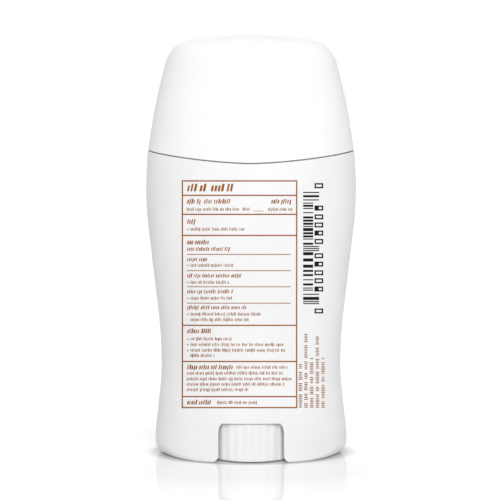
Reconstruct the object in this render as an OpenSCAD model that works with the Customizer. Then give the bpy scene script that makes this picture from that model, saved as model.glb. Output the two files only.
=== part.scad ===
// Oval twist-up pack for a soft deodorant, about 61 mm wide, 34 mm deep and 122 mm tall.
// Base rim at z = 0, width along X, front of the pack towards -Y. Sizes in millimetres.

/* [Barrel outline] */
// Width at the widest part of the shoulder
shoulder_w = 60.8; // [58:0.2:64]
// Depth at the widest part of the shoulder
shoulder_d = 34; // [32.6:0.2:37]
// How far the widest part lies below the parting line
shoulder_drop = 9.5; // [7.5:0.5:14]
// How fast the barrel draws in again above its widest part, as a radius
shoulder_r = 200; // [150:10:400]
// How much narrower the waist is than the shoulder
waist_in = 8.4; // [6.6:0.2:8.6]
// Height of the waist
waist_z = 27; // [24:0.5:32]
// How much narrower the foot is than the shoulder
base_in = 4.6; // [2.8:0.2:5.8]
// Height of the straight foot
foot_h = 3.4; // [2.6:0.2:5]
// Rounding of the foot's outer edge
foot_edge = 0.9; // [0.4:0.1:1.2]

/* [Parting line] */
// Height of the parting line in the middle of the front
parting_z = 86.5; // [86.3:0.1:89]
// How much higher the parting line lies at the two ends
parting_rise = 2.3; // [1.6:0.1:2.8]
// Open line between the cap's edge and the barrel's rim
line_gap = 0.3; // [0.2:0.05:0.5]

/* [Barrel walls] */
// Outer wall
wall = 1.5; // [1.3:0.1:1.7]
// Wall of the inner tube
tube_wall = 1.3; // [1.1:0.1:1.4]
// Wall between the bore and the two sides of the waist
waist_wall = 1.7; // [1.5:0.05:2.2]
// Wall between the bore and the waist's front and back
waist_wall_d = 2.65; // [2.4:0.05:3.2]
// How far the inner tube's top lies below the parting line
rim_depth = 2.5; // [2.1:0.1:3.4]
// Bottom of the open pocket between the tube and the outer wall
pocket_z = 50; // [49:0.5:58]
// Underside of the floor
floor_z = 13.4; // [13:0.1:14.2]
// Thickness of the floor
floor_t = 1.6; // [1.2:0.1:2]
// Height of the bearing's boss above the floor
boss_h = 1.4; // [1:0.1:1.8]
// Radius of the bearing's boss
boss_r = 6.4; // [6:0.1:7]

/* [Finger notches] */
// Width of each notch
notch_w = 18.8; // [16:0.2:21]
// Wall between the top of each notch and the floor
notch_roof = 1.8; // [1.2:0.1:3]
// Radius of its two upper corners
notch_r = 2.2; // [1:0.1:4]
// Radius of its two flared feet
notch_foot_r = 1.4; // [0.6:0.1:2]

/* [Cap] */
// Height of the cap above the parting line
cap_h = 35.3; // [31:0.1:40]
// Cap wall
cap_wall = 1.5; // [1.3:0.1:1.7]
// How far the cap's edge stands back from the barrel's rim
cap_step = 0.1; // [0:0.05:0.2]
// Lean of the cap's side at its edge, in degrees
cap_lean = 7.7; // [7:0.1:8.2]
// Radius of the cap's side in the front view
cap_side_r = 200; // [170:10:300]
// Radius of the cap's crown in the front view
crown_r = 110; // [90:5:160]
// How far below the crown's top the cap's rounded corner starts
corner_drop = 8.5; // [7:0.1:10]
// Width of that rounded corner
corner_w = 7.25; // [6:0.05:9]
// Thickness of the inner lip that drops into the barrel's rim
lip_t = 1; // [0.8:0.05:1]
// Clearance of the lip inside the barrel's rim
lip_gap = 0.35; // [0.2:0.05:0.4]
// How far the lip reaches up inside the cap
lip_up = 4.5; // [3:0.1:6]
// Gap between the lip's end and its seat on the head
seat_gap = 0.1; // [0.05:0.05:0.2]
// Thickness of the grip ribs inside the cap
rib_t = 1; // [0.8:0.1:1.6]
// Top of the grip ribs above the parting line
rib_top = 9; // [7:0.5:12]
// Distance of the front and back ribs from the middle
rib_x = 13; // [10:0.5:16]
// Clearance between the ribs and the head's neck
rib_gap = 0.15; // [0.1:0.05:0.25]

/* [Applicator head] */
// Width of the shelf round the neck on which the cap's lip lands
shelf = 1.7; // [1.5:0.05:2.4]
// Wall of the neck and dome
head_wall = 1.3; // [1.1:0.1:1.4]
// Height of the straight neck above the flange
neck_h = 10; // [8:0.2:12]
// Height of the dome's middle above the neck
dome_h = 10.6; // [9:0.2:12]
// Radius of the dome's crown in the front view
dome_r = 60; // [50:2:80]
// Width of the dome's rounded shoulder
dome_corner = 6.8; // [5:0.1:8]
// Thickness of the flange
flange_t = 1.4; // [1:0.1:1.6]
// Clearance of the flange inside the barrel's rim
flange_gap = 0.1; // [0.05:0.05:0.2]
// Length of the plug that enters the bore
plug_h = 3.6; // [3:0.1:4.4]
// Clearance of the plug in the bore
plug_gap = 0.05; // [0.05:0.05:0.1]
// Wall of the plug
plug_wall = 1.2; // [1:0.1:1.4]
// Diameter of the holes in the dome
hole_d = 2.4; // [2:0.1:3]
// Spacing of the holes along a row
hole_pitch = 6.2; // [5:0.1:7]
// Spacing of the rows of holes
row_pitch = 4.6; // [4:0.1:5]

/* [Dial] */
// How far the grip stands back from the front of the barrel's foot
dial_back = 0.9; // [0.6:0.1:1.6]
// Height of the dial's lower edge above the base rim
dial_lift = 0.4; // [0.3:0.1:0.8]
// Gap between the top of the grip and the top of the notch
grip_gap = 0.4; // [0.3:0.1:0.8]
// Radius of the raised ring that runs under the floor
thrust_r = 6.5; // [5.8:0.1:8]
// Running gap between that ring and the floor
dial_gap = 0.8; // [0.5:0.1:1]
// Number of grip flutes
flutes = 36; // [24:1:42]
// Depth of a flute
flute_depth = 0.3; // [0.2:0.05:0.4]
// Radius of a flute
flute_r = 2.4; // [2.2:0.1:3]
// Bevel of the dial's lower edge
dial_edge = 0.9; // [0.5:0.1:1.2]
// Wall of the grip
dial_wall = 1.7; // [1.4:0.1:2.2]
// Thickness of the dial's top plate
dial_top_t = 1.8; // [1.4:0.1:2.4]
// Radius of the hub that holds the screw's peg
hub_r = 5.2; // [4.8:0.1:6]
// How far the hub stands back from the dial's lower edge
hub_back = 1.6; // [1:0.1:2.4]
// Number of ribs under the dial
dial_ribs = 6; // [4:1:8]
// Thickness of those ribs
dial_rib_t = 1; // [0.8:0.1:1.4]

/* [Feed screw] */
// Side of the square peg pressed into the dial
peg_w = 5.2; // [4.6:0.1:5.4]
// Length of the peg
peg_l = 8; // [6:0.2:9]
// Clearance of the peg in its socket
peg_gap = 0.05; // [0.05:0.01:0.1]
// Radius of the journal that turns in the floor
journal_r = 4; // [3.9:0.05:4.2]
// Radial clearance of the journal
journal_gap = 0.08; // [0.04:0.01:0.1]
// Gap above and below the bearing
thrust_gap = 0.2; // [0.15:0.05:0.3]
// Radius of the collar above the floor
collar_r = 5.5; // [5:0.1:6]
// Thickness of the collar
collar_t = 1.2; // [1:0.1:1.5]
// Radius of the screw's core
core_r = 3.1; // [2.8:0.1:3.3]
// Radius over the thread
crest_r = 4.5; // [4.3:0.05:4.7]
// Rise of the elevator for one turn of the dial
lead = 4.5; // [4:0.1:5]
// Width of the thread at its root
root_w = 2; // [1.7:0.1:2.2]
// Width of the thread at its crest
crest_w = 1.2; // [0.8:0.1:1.4]

/* [Elevator] */
// Gap between the elevator's wiping rims and the bore
wiper_gap = 0.3; // [0.2:0.05:0.4]
// Height of the elevator
elevator_h = 10.7; // [10:0.1:12]
// Thickness of its deck
deck_t = 1.4; // [1.2:0.1:2]
// Wall of its skirt
skirt_wall = 1.3; // [1.1:0.1:1.6]
// Height of each wiping rim
rim_h = 1.2; // [0.8:0.1:1.6]
// How far the skirt stands back between the rims
rim_relief = 0.4; // [0.2:0.05:0.5]
// Rest gap between the elevator and the floor
stop_gap = 0.3; // [0.2:0.05:0.5]
// Radius of the threaded boss
nut_r = 6.6; // [6.2:0.1:7.2]
// Gap between the threaded boss and the collar at rest
nut_gap = 0.4; // [0.3:0.1:0.8]
// Radial clearance of the thread
thread_gap = 0.3; // [0.25:0.05:0.35]
// Clearance of the thread along the screw, on each side
thread_play = 0.35; // [0.3:0.05:0.4]
// Thickness of the two long ribs under the deck
deck_rib_t = 1.2; // [1:0.1:1.6]

/* [Cream] */
// Gap between the cream and the bore
cream_gap = 0.1; // [0.05:0.05:0.2]
// Gap between the cream and the elevator or the plug
cream_end_gap = 0.15; // [0.1:0.05:0.2]

/* [Hidden] */
$fn = 64;

over = 1; // reach of every cut past the solid that it opens
round_fn = 128;
rib_root = 0.3; // how deep the cap's ribs are rooted in its wall

shoulder_a = shoulder_w / 2;
shoulder_b = shoulder_d / 2;
shoulder_z = parting_z - shoulder_drop;
waist_w = shoulder_w - waist_in;
base_w = shoulder_w - base_in;
oval_out = shoulder_b / shoulder_a;
oval_in = (shoulder_b - wall) / (shoulder_a - wall);
bore_a = waist_w / 2 - waist_wall;
bore_b = waist_w / 2 * oval_out - waist_wall_d;
tube_top_z = parting_z - rim_depth;
floor_top = floor_z + floor_t;
notch_h = floor_z - notch_roof;

// The shoulder's rim and the curved parting line.
rim_a = barrel_a(parting_z);
parting_r = (rim_a * rim_a + parting_rise * parting_rise) / (2 * parting_rise);
barrel_top = parting_z + parting_rise + over;

// The head, from its seat on the tube upwards.
flange_z = tube_top_z;
flange_top = flange_z + flange_t;
flange_a = rim_a - wall - flange_gap;
flange_b = (rim_a - wall) * oval_in - flange_gap;
plug_z = tube_top_z - plug_h;
neck_a = flange_a - shelf;
neck_b = flange_b - shelf;
dome_x = neck_a - dome_corner;
neck_top = flange_top + neck_h;
dome_top = neck_top + dome_h;

// The cap's lip, set by the barrel's rim, and the shell that carries it.
lip_a = rim_a - wall - lip_gap;
lip_b = (rim_a - wall) * oval_in - lip_gap;
lip_z = flange_top + seat_gap;
lip_top = parting_z + lip_up;
cap_a = rim_a - cap_step;
cap_oval_in = (cap_a * oval_out - cap_wall) / (cap_a - cap_wall);
pack_h = parting_z + cap_h;
corner_z = pack_h - corner_drop;
corner_x = cap_side(corner_z) - corner_w;

// The dial and the screw's stations along the axis.
dial_r = base_w / 2 * oval_out - dial_back;
dial_top = floor_z - dial_gap;
grip_top = notch_h - grip_gap;
hub_z = dial_lift + hub_back;
socket_z = dial_top - peg_l - peg_gap;
collar_z = floor_top + boss_h + thrust_gap;
collar_top = collar_z + collar_t;

// The elevator, its boss and its full travel, in whole turns of the dial.
elevator_z = floor_top + stop_gap;
deck_z = elevator_z + elevator_h;
nut_z = collar_top + nut_gap;
turns = floor((plug_z - stop_gap - deck_z) / lead);
travel = turns * lead;
tip_z = deck_z + travel;
nut_bore = crest_r + thread_gap;
thread_z = collar_top + root_w;
nut_root_w = lead - crest_w - 2 * thread_play;
ridge_sink = 0.3; // how deep a ridge is rooted in the solid that carries it

// Smooth step from 0 to 1 with a soft start over e1 and a soft end over e2, straight between.
function swell(t, e1, e2) = let (m = 1 / (1 - (e1 + e2) / 2))
    t <= 0 ? 0 : t >= 1 ? 1 :
    t < e1 ? m * t * t / (2 * e1) :
    t > 1 - e2 ? 1 - m * (1 - t) * (1 - t) / (2 * e2) : m * (t - e1 / 2);

// Half the barrel's width at a height: foot, waist, straight flare, round shoulder.
function barrel_a(z) =
    z > shoulder_z ? shoulder_a - (z - shoulder_z) * (z - shoulder_z) / (2 * shoulder_r) :
    z > waist_z ? waist_w / 2 + (shoulder_w - waist_w) / 2
        * swell((z - waist_z) / (shoulder_z - waist_z), 0.3, 0.22) :
    waist_w / 2 + (base_w - waist_w) / 2 * swell((waist_z - z) / (waist_z - foot_h), 0.3, 0.22);

// Heights between two levels, with or without the lower one.
function levels(lo, hi, n) = [for (i = [0 : n]) lo + (hi - lo) * i / n];
function levels_above(lo, hi, n) = [for (i = [1 : n]) lo + (hi - lo) * i / n];

// Points of a rounded corner from p to q whose tangents meet at c.
function bend(p, c, q, n) = [for (i = [0 : n]) let (t = i / n)
    (1 - t) * (1 - t) * p + 2 * t * (1 - t) * c + t * t * q];

// Where the line from p along u meets the line from q along v.
function meet(p, u, q, v) = let (d = u[0] * v[1] - u[1] * v[0],
    s = ((q[0] - p[0]) * v[1] - (q[1] - p[1]) * v[0]) / d) p + s * u;

// Half the cap's width at a height, and its crown's height at a distance from the middle.
function cap_side(z) = cap_a - tan(cap_lean) * (z - parting_z)
    - (z - parting_z) * (z - parting_z) / (2 * cap_side_r);
function cap_lean_at(z) = tan(cap_lean) + (z - parting_z) / cap_side_r;
function crown_z(x, top, r) = top - x * x / (2 * r);

// The cap's outline, or the same outline set in by t.
function cap_outline(t, lo) = let (
    z0 = corner_z - t / 2,
    x1 = corner_x - t / 2,
    p = [cap_side(z0) - t, z0],
    q = [x1, crown_z(x1, pack_h, crown_r) - t],
    c = meet(p, [-cap_lean_at(z0), 1], q, [1, -x1 / crown_r]))
    concat([[0, lo]],
        [for (z = levels(lo, z0, 4)) if (z < z0) [cap_side(z) - t, z]],
        bend(p, c, q, 5),
        [for (f = [2 : -1 : 0]) [x1 * f / 3, crown_z(x1 * f / 3, pack_h, crown_r) - t]]);

// The head's outline above the flange, or the same outline set in by t.
function head_outline(t, lo) = let (
    p = [neck_a - t, neck_top],
    q = [dome_x - t, crown_z(dome_x - t, dome_top, dome_r) - t],
    c = meet(p, [0, 1], q, [1, -q[0] / dome_r]))
    concat([[0, lo], [neck_a - t, lo]], bend(p, c, q, 4),
        [for (f = [2 : -1 : 0]) let (x = q[0] * f / 3) [x, crown_z(x, dome_top, dome_r) - t]]);

// A solid of oval section: the outline turned about Z and narrowed in depth.
module oval(ratio) {
    for (half = [0, 180])
        scale([1, ratio, 1]) rotate([0, 0, half]) rotate_extrude(angle = 180, $fn = round_fn) children();
}

// A straight oval drum of half width a and half depth b.
module drum(a, b, lo, hi) {
    oval(b / a) translate([0, lo]) square([a, hi - lo]);
}

// The barrel's form between two levels, set in by t, with n bands.
module barrel_form(t, ratio, lo, hi, n) {
    oval(ratio) polygon(concat([[0, lo]],
        [for (z = levels(lo, hi, n)) [barrel_a(z) - t, z]], [[0, hi]]));
}

// The big drum whose underside gives the parting line its curve.
module parting_form(r) {
    translate([0, 0, parting_z + parting_r]) rotate([90, 0, 0])
        cylinder(r = r, h = shoulder_d + 2 * over, center = true, $fn = 360);
}

// One thread ridge between the radii r0 and r1, with the widths w0 and w1 there. Its middle
// passes height z at angle 0, and it runs from height lo to height hi.
module ridge(r0, r1, w0, w1, z, lo, hi) {
    steps = ceil((hi - lo) / lead * 20);
    inner = min(r0, r1);
    outer = max(r0, r1);
    wi = r0 < r1 ? w0 : w1;
    wo = r0 < r1 ? w1 : w0;
    corners = [[inner, -wi / 2], [outer, -wo / 2], [outer, wo / 2], [inner, wi / 2]];
    points = [for (i = [0 : steps], c = corners)
        let (h = lo + (hi - lo) * i / steps, a = 360 * (h - z) / lead)
        [c[0] * cos(a), c[0] * sin(a), h + c[1]]];
    sides = [for (i = [0 : steps - 1], k = [0 : 3]) let (m = (k + 1) % 4)
        each [[4 * i + k, 4 * i + m, 4 * i + 4 + m], [4 * i + k, 4 * i + 4 + m, 4 * i + 4 + k]]];
    last = 4 * steps;
    polyhedron(points, concat([[0, 2, 1], [0, 3, 2]], sides,
        [[last, last + 1, last + 2], [last, last + 2, last + 3]]));
}

// Outline of a finger notch: round upper corners, flared feet.
module notch_outline() {
    half = notch_w / 2;
    translate([-half, -over]) square([notch_w, notch_h - notch_r + over]);
    translate([notch_r - half, -over]) square([notch_w - 2 * notch_r, notch_h + over]);
    for (side = [-1, 1]) {
        translate([side * (half - notch_r), notch_h - notch_r]) circle(r = notch_r);
        difference() {
            translate([side > 0 ? half - over : -half - notch_foot_r, -over])
                square([notch_foot_r + over, notch_foot_r + over]);
            translate([side * (half + notch_foot_r), notch_foot_r]) circle(r = notch_foot_r);
        }
    }
}

// Barrel: flared outer wall and straight inner tube in one moulding, floor with a bearing.
module barrel() {
    color("white") {
        difference() {
            oval(oval_out) polygon(concat([[0, 0], [barrel_a(0) - foot_edge, 0]],
                [for (z = concat([foot_edge], levels(foot_h, waist_z, 4), levels_above(waist_z, shoulder_z, 7),
                    levels_above(shoulder_z, barrel_top, 3))) [barrel_a(z), z]], [[0, barrel_top]]));
            barrel_form(wall, oval_in, -over, floor_z, 3);
            difference() {
                barrel_form(wall, oval_in, pocket_z, barrel_top + over, 4);
                drum(bore_a + tube_wall, bore_b + tube_wall, pocket_z - over, tube_top_z);
            }
            drum(bore_a, bore_b, floor_top, tube_top_z + over);
            parting_form(parting_r);
            rotate([90, 0, 0]) linear_extrude(base_w, center = true) notch_outline();
            translate([0, 0, floor_z - over]) cylinder(r = journal_r + journal_gap, h = floor_t + 2 * over);
        }
        translate([0, 0, floor_top]) difference() {
            cylinder(r = boss_r, h = boss_h);
            translate([0, 0, -over]) cylinder(r = journal_r + journal_gap, h = boss_h + 2 * over);
        }
    }
}

// Elevator: a cup turned open side down, with two wiping rims and a threaded boss.
module elevator() {
    a = bore_a - wiper_gap;
    b = bore_b - wiper_gap;
    color("gainsboro") {
        difference() {
            oval(b / a) polygon([[0, elevator_z], [a, elevator_z], [a, elevator_z + rim_h],
                [a - rim_relief, elevator_z + rim_h + rim_relief],
                [a - rim_relief, deck_z - rim_h - rim_relief], [a, deck_z - rim_h],
                [a, deck_z], [0, deck_z]]);
            difference() {
                drum(a - skirt_wall - rim_relief, b - skirt_wall - rim_relief,
                    elevator_z - over, deck_z - deck_t);
                translate([0, 0, nut_z]) cylinder(r = nut_r, h = deck_z - nut_z);
                for (side = [0, 180]) rotate([0, 0, side])
                    translate([0, -deck_rib_t / 2, nut_z]) cube([a, deck_rib_t, deck_z - nut_z]);
            }
            translate([0, 0, elevator_z - over]) cylinder(r = nut_bore, h = elevator_h + 2 * over);
        }
        ridge(nut_bore + ridge_sink, core_r + thread_gap, nut_root_w, lead - root_w - 2 * thread_play,
            thread_z + lead / 2, nut_z + nut_root_w / 2 + 0.1, deck_z - nut_root_w / 2 - 0.1);
    }
}

// Feed screw: square peg, journal, collar and a coarse right-hand thread.
module feed_screw() {
    color("silver") {
        translate([-peg_w / 2, -peg_w / 2, dial_top - peg_l]) cube([peg_w, peg_w, peg_l + over]);
        translate([0, 0, dial_top]) cylinder(r = journal_r, h = collar_z - dial_top);
        translate([0, 0, collar_z]) cylinder(r = collar_r, h = collar_t);
        translate([0, 0, collar_top]) cylinder(r = core_r, h = tip_z - collar_top - core_r / 2);
        translate([0, 0, tip_z - core_r / 2]) cylinder(r1 = core_r, r2 = core_r / 2, h = core_r / 2);
        ridge(core_r - ridge_sink, crest_r, root_w, crest_w, thread_z, thread_z, tip_z - core_r / 2 - root_w);
    }
}

// Dial: fluted grip wheel, open below, with a ribbed hub for the screw's peg.
module dial() {
    color("whitesmoke") {
        difference() {
            rotate_extrude($fn = round_fn) polygon([[0, dial_lift], [dial_r - dial_edge, dial_lift],
                [dial_r, dial_lift + dial_edge], [dial_r, grip_top], [thrust_r, grip_top],
                [thrust_r, dial_top], [0, dial_top]]);
            for (i = [0 : flutes - 1]) rotate([0, 0, (i + 0.5) * 360 / flutes])
                translate([0, -dial_r - flute_r + flute_depth, dial_lift - over])
                cylinder(r = flute_r, h = dial_top - dial_lift + 2 * over, $fn = 40);
            difference() {
                translate([0, 0, -over])
                    cylinder(r = dial_r - dial_wall, h = grip_top - dial_top_t + over, $fn = round_fn);
                translate([0, 0, hub_z]) cylinder(r = hub_r, h = dial_top);
                for (i = [0 : dial_ribs - 1]) rotate([0, 0, (i + 0.5) * 360 / dial_ribs])
                    translate([0, -dial_rib_t / 2, hub_z]) cube([dial_r, dial_rib_t, dial_top]);
            }
            translate([-peg_w / 2 - peg_gap, -peg_w / 2 - peg_gap, socket_z])
                cube([peg_w + 2 * peg_gap, peg_w + 2 * peg_gap, peg_l + peg_gap + over]);
        }
    }
}

// Cream: the fill between the elevator and the head's plug, round the screw.
module cream() {
    color("ivory") difference() {
        drum(bore_a - cream_gap, bore_b - cream_gap, deck_z + cream_end_gap, plug_z - cream_end_gap);
        translate([0, 0, deck_z]) cylinder(r = crest_r + thread_gap, h = plug_z - deck_z);
    }
}

// Centres of the dome's holes: staggered rows that stay on the crown.
function dome_holes() = [for (row = [-2 : 2], i = [-5 : 5])
    let (x = (i + (row % 2 == 0 ? 0 : 0.5)) * hole_pitch, y = row * row_pitch, a = dome_x - hole_d / 2,
        b = dome_x * neck_b / neck_a - hole_d / 2)
    if (x * x / (a * a) + y * y / (b * b) < 1) [x, y]];

// Applicator head: plug, flange and neck in one moulding under a dome with rows of holes.
module applicator_head() {
    color("snow") difference() {
        union() {
            drum(bore_a - plug_gap, bore_b - plug_gap, plug_z, flange_top);
            drum(flange_a, flange_b, flange_z, flange_top);
            oval(neck_b / neck_a) polygon(head_outline(0, flange_z));
        }
        drum(bore_a - plug_gap - plug_wall, bore_b - plug_gap - plug_wall, plug_z - over, flange_top + over);
        oval((neck_b - head_wall) / (neck_a - head_wall)) polygon(head_outline(head_wall, flange_top));
        for (p = dome_holes()) translate([p[0], p[1], neck_top])
            cylinder(d = hole_d, h = dome_h + over, $fn = 24);
    }
}

// Cap: domed cover with a curved edge, an inner lip and six grip ribs.
module cap() {
    color("white") {
        intersection() {
            difference() {
                oval(oval_out) polygon(cap_outline(0, parting_z - over));
                oval(cap_oval_in) polygon(cap_outline(cap_wall, parting_z - 2 * over));
            }
            parting_form(parting_r - line_gap);
        }
        difference() {
            drum(lip_a, lip_b, lip_z, lip_top);
            drum(lip_a - lip_t, lip_b - lip_t, lip_z - over, lip_top + over);
        }
        difference() {
            intersection() {
                oval(cap_oval_in) polygon(concat([[0, lip_top - over]],
                    [for (z = levels(lip_top - over, parting_z + rib_top, 2))
                        [cap_side(z) - cap_wall + rib_root, z]], [[0, parting_z + rib_top]]));
                union() {
                    for (x = [-rib_x, rib_x]) translate([x - rib_t / 2, -shoulder_b, parting_z])
                        cube([rib_t, shoulder_d, rib_top]);
                    translate([-shoulder_a, -rib_t / 2, parting_z]) cube([shoulder_w, rib_t, rib_top]);
                }
            }
            drum(neck_a + rib_gap, neck_b + rib_gap, parting_z, parting_z + rib_top + over);
        }
    }
}

barrel();
elevator();
feed_screw();
dial();
cream();
applicator_head();
cap();
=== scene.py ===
"""Dress of the oval twist-up pack: barrel, cap, applicator head, dial, fill, print and studio.

Every length in the classes is in millimetres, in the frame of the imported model. Form.piece() and
MM turn them to metres.
"""

import logging
from dataclasses import dataclass, field
from enum import Enum
from math import ceil, cos, degrees, inf, isinf, pi, radians, sin, sqrt, tan
from typing import Sequence

import bmesh
import bpy
import numpy as np
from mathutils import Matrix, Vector


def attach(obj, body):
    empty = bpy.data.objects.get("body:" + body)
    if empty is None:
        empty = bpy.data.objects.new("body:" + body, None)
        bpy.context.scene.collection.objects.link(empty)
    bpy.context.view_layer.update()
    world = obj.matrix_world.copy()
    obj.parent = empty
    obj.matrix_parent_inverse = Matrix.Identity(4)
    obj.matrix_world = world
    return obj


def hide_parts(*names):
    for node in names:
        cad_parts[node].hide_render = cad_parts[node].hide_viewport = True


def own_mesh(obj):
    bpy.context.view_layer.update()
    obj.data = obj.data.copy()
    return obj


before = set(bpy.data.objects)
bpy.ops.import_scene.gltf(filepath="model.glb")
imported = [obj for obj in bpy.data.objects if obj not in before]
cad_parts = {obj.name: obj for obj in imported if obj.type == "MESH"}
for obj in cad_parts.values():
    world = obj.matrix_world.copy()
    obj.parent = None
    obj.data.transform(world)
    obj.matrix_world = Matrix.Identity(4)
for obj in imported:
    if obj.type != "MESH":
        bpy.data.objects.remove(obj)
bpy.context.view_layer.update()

LOG = logging.getLogger("pack")
MM = 0.001
AROUND = 240

Pair = tuple[float, float]
Triple = tuple[float, float, float]
Row = Sequence[float]
# One value, or one for each point of a ring.
Size = float | np.ndarray


# Finishes


def linear(code: str) -> tuple[float, float, float, float]:
    """Turns an sRGB hex colour, "#RRGGBB", into linear red, green, blue and an alpha of 1."""
    shares = (int(code[i:i + 2], 16) / 255 for i in (1, 3, 5))
    return *(s / 12.92 if s <= 0.04045 else ((s + 0.055) / 1.055) ** 2.4 for s in shares), 1.0


def add_node(tree: bpy.types.NodeTree, kind: str, inputs: dict | None = None,
             settings: dict | None = None) -> bpy.types.Node:
    """Adds one node with its inputs and its settings.

    Args:
        tree: the node tree that takes the node.
        kind: the node's type name.
        inputs: values or output sockets by the name or number of the input.
        settings: properties of the node by name.

    Returns:
        The new node.
    """
    made = tree.nodes.new(kind)
    for name, value in (settings or {}).items():
        setattr(made, name, value)
    for name, value in (inputs or {}).items():
        if isinstance(value, bpy.types.NodeSocket):
            tree.links.new(value, made.inputs[name])
        else:
            made.inputs[name].default_value = value
    return made


def start_material(name: str) -> tuple[bpy.types.Material, bpy.types.NodeTree,
                                       bpy.types.NodeSocket]:
    """Makes a material whose node tree holds nothing but object coordinates.

    Args:
        name: the material's name.

    Returns:
        The material, its node tree and the socket of the coordinates.
    """
    made = bpy.data.materials.new(name)
    made.use_nodes = True
    made.node_tree.nodes.clear()
    place = add_node(made.node_tree, "ShaderNodeTexCoord").outputs["Object"]
    return made, made.node_tree, place


def two_tone(tree: bpy.types.NodeTree, factor: bpy.types.NodeSocket, low: float, high: float,
             first: str, second: str) -> bpy.types.Node:
    """Adds a ramp that goes from one colour to another.

    Args:
        tree: the node tree.
        factor: the pattern that chooses the colour.
        low: where the ramp leaves the first colour.
        high: where it reaches the second.
        first: sRGB hex colour below low.
        second: sRGB hex colour above high.

    Returns:
        The colour ramp node.
    """
    ramp = add_node(tree, "ShaderNodeValToRGB", {"Fac": factor})
    for stop, place, code in zip(ramp.color_ramp.elements, (low, high), (first, second)):
        stop.position, stop.color = place, linear(code)
    return ramp


@dataclass(frozen=True)
class MouldedPlastic:
    """An injection-moulded thermoplastic with the satin skin that a fine-blasted mould leaves.

    The grain gives the soft, broad highlight; the slow flow tone keeps large faces from
    looking printed in one flat colour.
    """

    name: str
    colour: str
    flow_colour: str
    rough: Pair
    ior: float = 1.49
    grain_mm: float = 0.45
    grain_depth_mm: float = 0.006
    flow_mm: float = 14.0
    depth_mm: float = 0.8
    glow: float = 0.06
    patch_mm: float = 3.1

    def material(self) -> bpy.types.Material:
        """Builds the material.

        Returns:
            The finished material.
        """
        made, tree, place = start_material(self.name)
        # A blasted mould's grain is nearer 0.05 mm; it is drawn as coarse as it needs to show.
        flow, patch, grain = (add_node(tree, "ShaderNodeTexNoise", {
            "Vector": place, "Scale": 1 / (size * MM), "Detail": detail, "Roughness": fine,
            }).outputs["Fac"] for size, detail, fine in (
                (self.flow_mm, 3.0, 0.45), (self.patch_mm, 4.0, 0.6), (self.grain_mm, 2.0, 0.5)))
        tone = two_tone(tree, flow, 0.35, 0.7, self.colour, self.flow_colour)
        sheen = add_node(tree, "ShaderNodeMapRange", {
            "Value": patch, "From Min": 0.3, "From Max": 0.7,
            "To Min": self.rough[0], "To Max": self.rough[1]})
        skin = add_node(tree, "ShaderNodeBump", {
            "Height": grain, "Distance": self.grain_depth_mm * MM, "Strength": 1.0})
        shader = add_node(tree, "ShaderNodeBsdfPrincipled", {
            "Base Color": tone.outputs["Color"], "Roughness": sheen.outputs["Result"],
            "IOR": self.ior, "Normal": skin.outputs["Normal"], "Subsurface Weight": self.glow,
            "Subsurface Radius": (1.0, 1.0, 1.0), "Subsurface Scale": self.depth_mm * MM})
        add_node(tree, "ShaderNodeOutputMaterial", {"Surface": shader.outputs["BSDF"]})
        return made


@dataclass(frozen=True)
class PrintingInk:
    """Matte ink laid on the wall by screen printing.

    Pigment stands proud of the binder, so little of its surface mirrors and solid bars stay
    deep. Its lay is slightly uneven, which shows as a faint mottle of about a millimetre.
    """

    name: str
    colour: str
    thin_colour: str
    rough: float = 0.6
    mirror: float = 0.16
    mottle_mm: float = 0.9
    film_mm: float = 0.004

    def material(self) -> bpy.types.Material:
        """Builds the material.

        Returns:
            The finished material.
        """
        made, tree, place = start_material(self.name)
        lay = add_node(tree, "ShaderNodeTexNoise", {
            "Vector": place, "Scale": 1 / (self.mottle_mm * MM), "Detail": 3.0, "Roughness": 0.6})
        tone = two_tone(tree, lay.outputs["Fac"], 0.4, 0.75, self.colour, self.thin_colour)
        film = add_node(tree, "ShaderNodeBump", {
            "Height": lay.outputs["Fac"], "Distance": self.film_mm * MM, "Strength": 1.0})
        shader = add_node(tree, "ShaderNodeBsdfPrincipled", {
            "Base Color": tone.outputs["Color"], "Roughness": self.rough, "IOR": 1.5,
            "Specular IOR Level": self.mirror, "Normal": film.outputs["Normal"]})
        add_node(tree, "ShaderNodeOutputMaterial", {"Surface": shader.outputs["BSDF"]})
        return made


@dataclass(frozen=True)
class Cream:
    """A whipped antiperspirant cream: off-white, soft and a little translucent.

    Small folds and pores from filling keep its surface from looking like plastic; the hollows of the folds
    are painted a darker tone, which is painted shade.
    """

    name: str = "whipped_cream_fill"
    colour: str = "#F4F0E6"
    # Painted shade: the darker tone in the hollows of the folds.
    hollow_shade_colour: str = "#E9E3D5"
    fold_mm: float = 2.6
    fold_depth_mm: float = 0.25
    depth_mm: float = 1.2

    def material(self) -> bpy.types.Material:
        """Builds the material.

        Returns:
            The finished material.
        """
        made, tree, place = start_material(self.name)
        folds = add_node(tree, "ShaderNodeTexNoise", {
            "Vector": place, "Scale": 1 / (self.fold_mm * MM), "Detail": 5.0, "Distortion": 0.8})
        # Low parts of the folds take the darker tone: painted shade in the hollows.
        tone = two_tone(tree, folds.outputs["Fac"], 0.3, 0.6, self.hollow_shade_colour, self.colour)
        lift = add_node(tree, "ShaderNodeBump", {
            "Height": folds.outputs["Fac"], "Distance": self.fold_depth_mm * MM, "Strength": 1.0})
        shader = add_node(tree, "ShaderNodeBsdfPrincipled", {
            "Base Color": tone.outputs["Color"], "Roughness": 0.5, "IOR": 1.43,
            "Subsurface Weight": 0.2, "Subsurface Radius": (1.0, 0.9, 0.8),
            "Subsurface Scale": self.depth_mm * MM, "Normal": lift.outputs["Normal"]})
        add_node(tree, "ShaderNodeOutputMaterial", {"Surface": shader.outputs["BSDF"]})
        return made


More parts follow.
